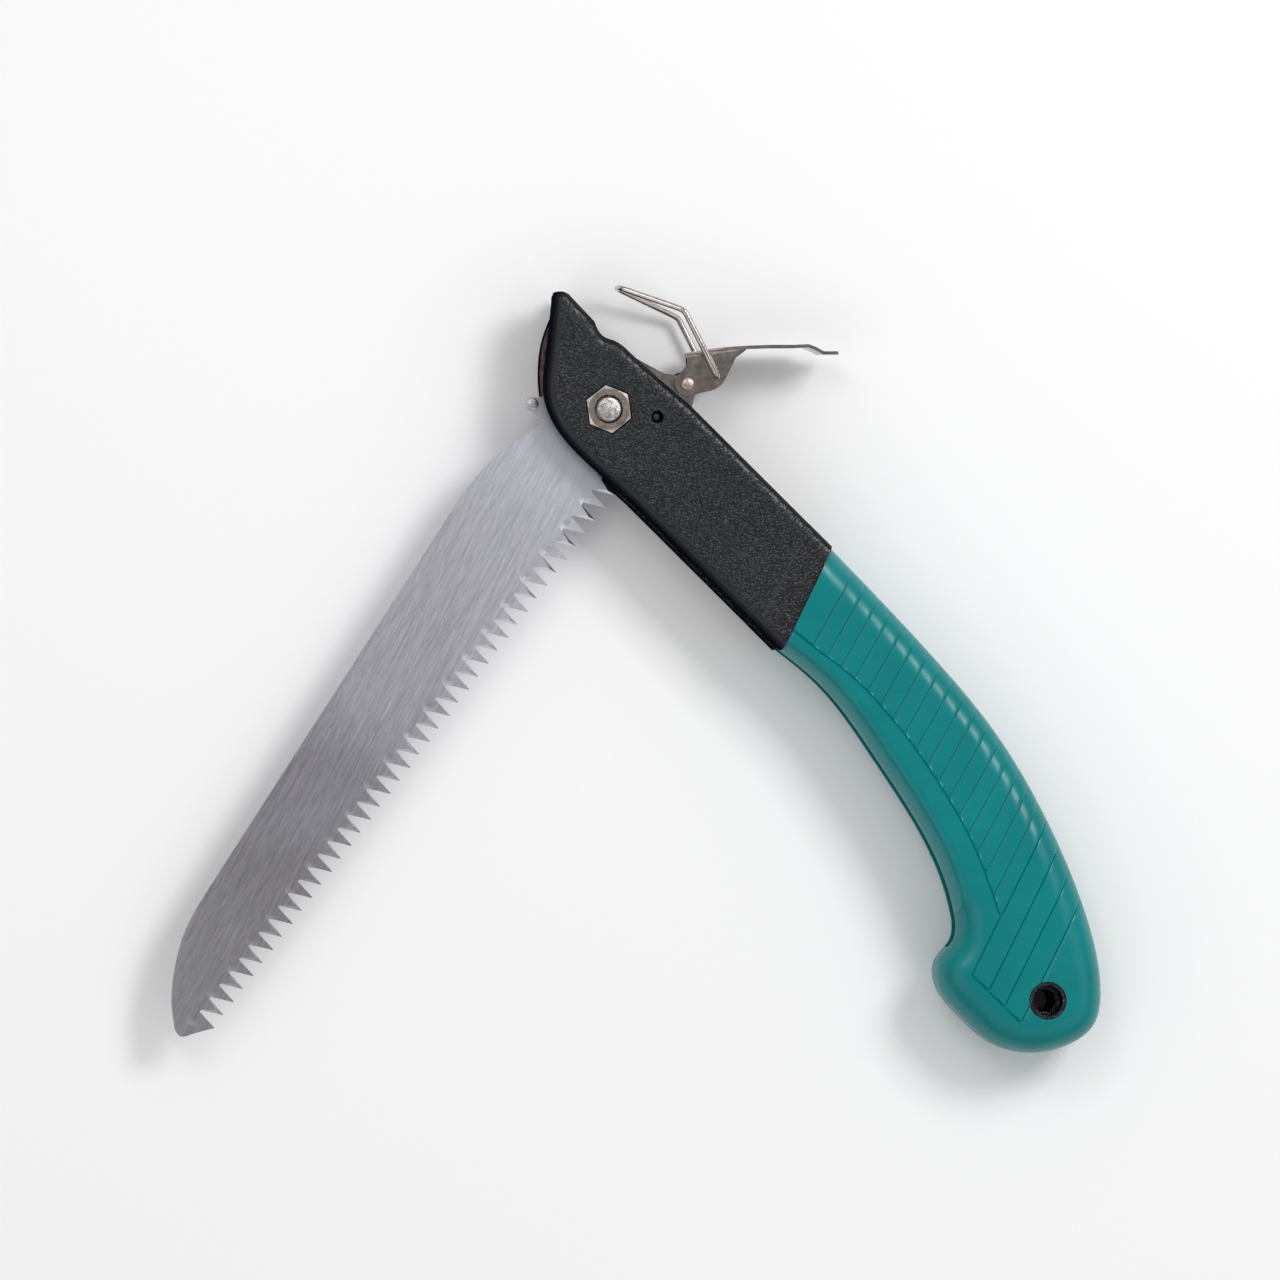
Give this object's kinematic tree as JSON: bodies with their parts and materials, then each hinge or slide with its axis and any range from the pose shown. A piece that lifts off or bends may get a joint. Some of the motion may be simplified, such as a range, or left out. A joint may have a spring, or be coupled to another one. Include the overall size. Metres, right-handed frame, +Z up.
{
  "type": "folding pruning saw",
  "caption": "Folding pruning saw, straight pull-cut blade half open on a curved green-gripped handle, with a toggle latch raised on its spine.",
  "frame": {"origin": "middle of the hanging hole, on the blade's mid-plane", "axes": "+Z up out of the nut side, along the hanging hole and the blade's pivot; the saw lies on its bolt-head side with the blade folding in the XY plane"},
  "size_m": [0.2235, 0.183, 0.021],
  "materials": {
    "black_plastic": "leather-grained moulded plastic",
    "green_grip": "satin soft overmould",
    "latch_steel": "dark nickel-plated sheet steel",
    "nickel_steel": "nickel-plated nut",
    "bolt_steel": "bright plated steel",
    "washer_nylon": "natural nylon",
    "rivet_steel": "peened steel rivet",
    "screw_steel": "black zinc screw",
    "blade_steel": "ground and brushed carbon steel",
    "wire_steel": "nickel-plated spring wire"
  },
  "bodies": {
    "handle": {"shell_near": "black_plastic", "shell_far": "black_plastic", "grip_near": "green_grip", "grip_far": "green_grip", "latch_bracket": "latch_steel", "pivot_nut": "nickel_steel", "pivot_bolt": "bolt_steel", "pivot_bush": "bolt_steel", "spacer_washer_near": "washer_nylon", "spacer_washer_far": "washer_nylon", "stop_pin": "bolt_steel", "lever_rivet": "rivet_steel", "shell_screws": "screw_steel"},
    "blade": {"saw_blade": "blade_steel", "keeper_pin": "bolt_steel"},
    "lever": {"latch_lever": "latch_steel"},
    "bail": {"latch_bail": "wire_steel"}
  },
  "joints": [
    {"name": "blade_pivot", "type": "hinge", "parent": "handle", "child": "blade", "pos_m": [-0.1057, 0.1409, 0], "axis": [0, 0, -1], "range_deg": [-73, 90]},
    {"name": "latch_lever", "type": "hinge", "parent": "handle", "child": "lever", "pos_m": [-0.0862, 0.1469, 0], "axis": [0, 0, -1], "range_deg": [-15, 60]},
    {"name": "latch_bail", "type": "hinge", "parent": "lever", "child": "bail", "pos_m": [-0.0792, 0.1486, 0], "axis": [0, 0, -1], "range_deg": [-67.8, 16.95]}
  ],
  "couplings": [
    {"joint": "latch_bail", "follows": "latch_lever", "ratio": -1.13}
  ]
}
